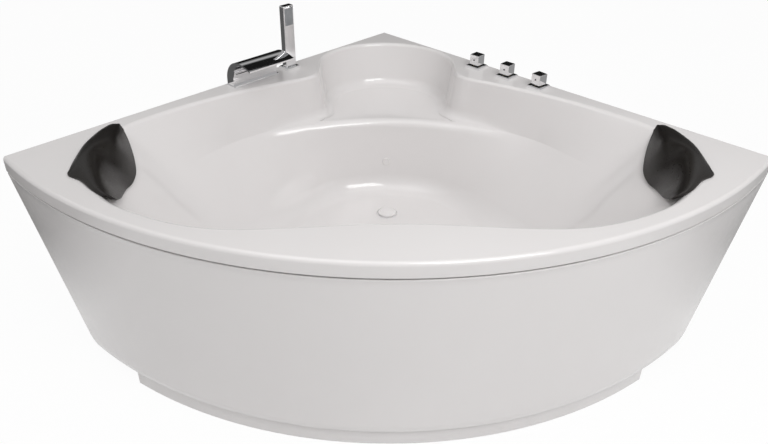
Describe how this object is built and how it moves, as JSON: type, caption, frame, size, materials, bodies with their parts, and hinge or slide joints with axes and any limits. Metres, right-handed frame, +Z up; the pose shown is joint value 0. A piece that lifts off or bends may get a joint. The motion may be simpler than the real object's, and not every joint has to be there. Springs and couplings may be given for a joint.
{
  "type": "corner bathtub",
  "caption": "Corner bathtub with a curved front skirt, corner seat, waterfall spout, deck knobs, hand shower and head pillows.",
  "frame": {"origin": "on the floor, under the middle of the bounding box", "axes": "+X to the right as seen from the curved front, +Y towards the back corner, +Z up"},
  "size_m": [2.117, 1.56, 0.819],
  "materials": {
    "acrylic_white": "sanitary acrylic, high gloss",
    "skirt_white": "sanitary acrylic, satin gloss",
    "chrome": "mirror chrome plate",
    "index_black": "gloss insert",
    "steel_galvanised": "galvanised",
    "board_birch": "resin-sealed board",
    "pipe_white": "moulded",
    "seal_black": "moulded rubber",
    "brass_raw": "machined",
    "hose_braid": "braided steel over rubber",
    "hose_grey": "corrugated plastic",
    "pillow_charcoal": "soft-touch coated foam, satin",
    "spray_grey": "satin with soft nozzles",
    "cap_white": "moulded",
    "nylon_black": "moulded"
  },
  "bodies": {
    "tub": {"tub_shell": "acrylic_white", "skirt_panel": "skirt_white", "plinth_strip": "skirt_white", "skirt_clips": "steel_galvanised", "base_board": "board_birch", "frame_tubes": "steel_galvanised", "frame_posts": "steel_galvanised", "foot_nuts": "steel_galvanised", "waste_body": "chrome", "waste_gasket": "seal_black", "waste_locknut": "pipe_white", "trap_body": "pipe_white", "trap_union": "pipe_white", "outlet_pipe": "pipe_white", "overflow_gasket": "seal_black", "overflow_body": "pipe_white", "overflow_hose": "hose_grey", "riser_cap": "cap_white", "riser_cap_nut": "pipe_white", "link_pipes": "brass_raw", "spout_plate": "chrome", "spout_hood": "chrome", "spout_outlet": "chrome", "spout_shank": "brass_raw", "shower_holder": "chrome", "deck_gaskets": "seal_black", "deck_nuts": "brass_raw", "spout_hose": "hose_braid", "shower_feed_hose": "hose_braid", "wall_brackets": "steel_galvanised", "pillow_left": "pillow_charcoal", "pillow_right": "pillow_charcoal", "pillow_pegs": "nylon_black", "peg_washers": "steel_galvanised", "valve_plate_hot": "chrome", "valve_body_hot": "brass_raw", "valve_plate_cold": "chrome", "valve_body_cold": "brass_raw", "valve_plate_diverter": "chrome", "valve_body_diverter": "brass_raw"},
    "foot_back_left": {"foot_back_left": "steel_galvanised"},
    "foot_back_right": {"foot_back_right": "steel_galvanised"},
    "foot_front_left": {"foot_front_left": "steel_galvanised"},
    "foot_front_right": {"foot_front_right": "steel_galvanised"},
    "foot_side_left": {"foot_side_left": "steel_galvanised"},
    "foot_side_right": {"foot_side_right": "steel_galvanised"},
    "hot_knob": {"knob_hot": "chrome", "index_dot_hot": "index_black", "spindle_hot": "nylon_black"},
    "cold_knob": {"knob_cold": "chrome", "index_dot_cold": "index_black", "spindle_cold": "nylon_black"},
    "diverter_knob": {"knob_diverter": "chrome", "index_dot_diverter": "index_black", "spindle_diverter": "nylon_black"},
    "hand_shower": {"handset": "chrome", "spray_face": "spray_grey"},
    "overflow_rosette": {"overflow_knob": "cap_white"},
    "plug": {"waste_plug": "cap_white"}
  },
  "joints": [
    {"name": "foot_back_left_level", "type": "slide", "parent": "tub", "child": "foot_back_left", "axis": [0, 0, 1], "range_m": [-0.025, 0]},
    {"name": "foot_back_right_level", "type": "slide", "parent": "tub", "child": "foot_back_right", "axis": [0, 0, 1], "range_m": [-0.025, 0]},
    {"name": "foot_front_left_level", "type": "slide", "parent": "tub", "child": "foot_front_left", "axis": [0, 0, 1], "range_m": [-0.025, 0]},
    {"name": "foot_front_right_level", "type": "slide", "parent": "tub", "child": "foot_front_right", "axis": [0, 0, 1], "range_m": [-0.025, 0]},
    {"name": "foot_side_left_level", "type": "slide", "parent": "tub", "child": "foot_side_left", "axis": [0, 0, 1], "range_m": [-0.025, 0]},
    {"name": "foot_side_right_level", "type": "slide", "parent": "tub", "child": "foot_side_right", "axis": [0, 0, 1], "range_m": [-0.025, 0]},
    {"name": "hot_turn", "type": "hinge", "parent": "tub", "child": "hot_knob", "pos_m": [0.3182, 0.40523, 0.6], "axis": [0, 0, 1], "range_deg": [0, 90]},
    {"name": "cold_turn", "type": "hinge", "parent": "tub", "child": "cold_knob", "pos_m": [0.40941, 0.31402, 0.6], "axis": [0, 0, 1], "range_deg": [0, 90]},
    {"name": "diverter_turn", "type": "hinge", "parent": "tub", "child": "diverter_knob", "pos_m": [0.50063, 0.2228, 0.6], "axis": [0, 0, 1], "range_deg": [-82, 8]},
    {"name": "hand_shower_lift", "type": "slide", "parent": "tub", "child": "hand_shower", "axis": [0, 0, 1], "range_m": [0, 0.15]},
    {"name": "overflow_turn", "type": "hinge", "parent": "tub", "child": "overflow_rosette", "pos_m": [0, -0.59996, 0.525], "axis": [0, 0.9852, 0.1712], "range_deg": [0, 90]},
    {"name": "plug_lift", "type": "slide", "parent": "tub", "child": "plug", "axis": [0, 0, 1], "range_m": [0, 0.0095]}
  ],
  "couplings": [
    {"joint": "plug_lift", "follows": "overflow_turn", "m_per_rad": 0.0057}
  ]
}
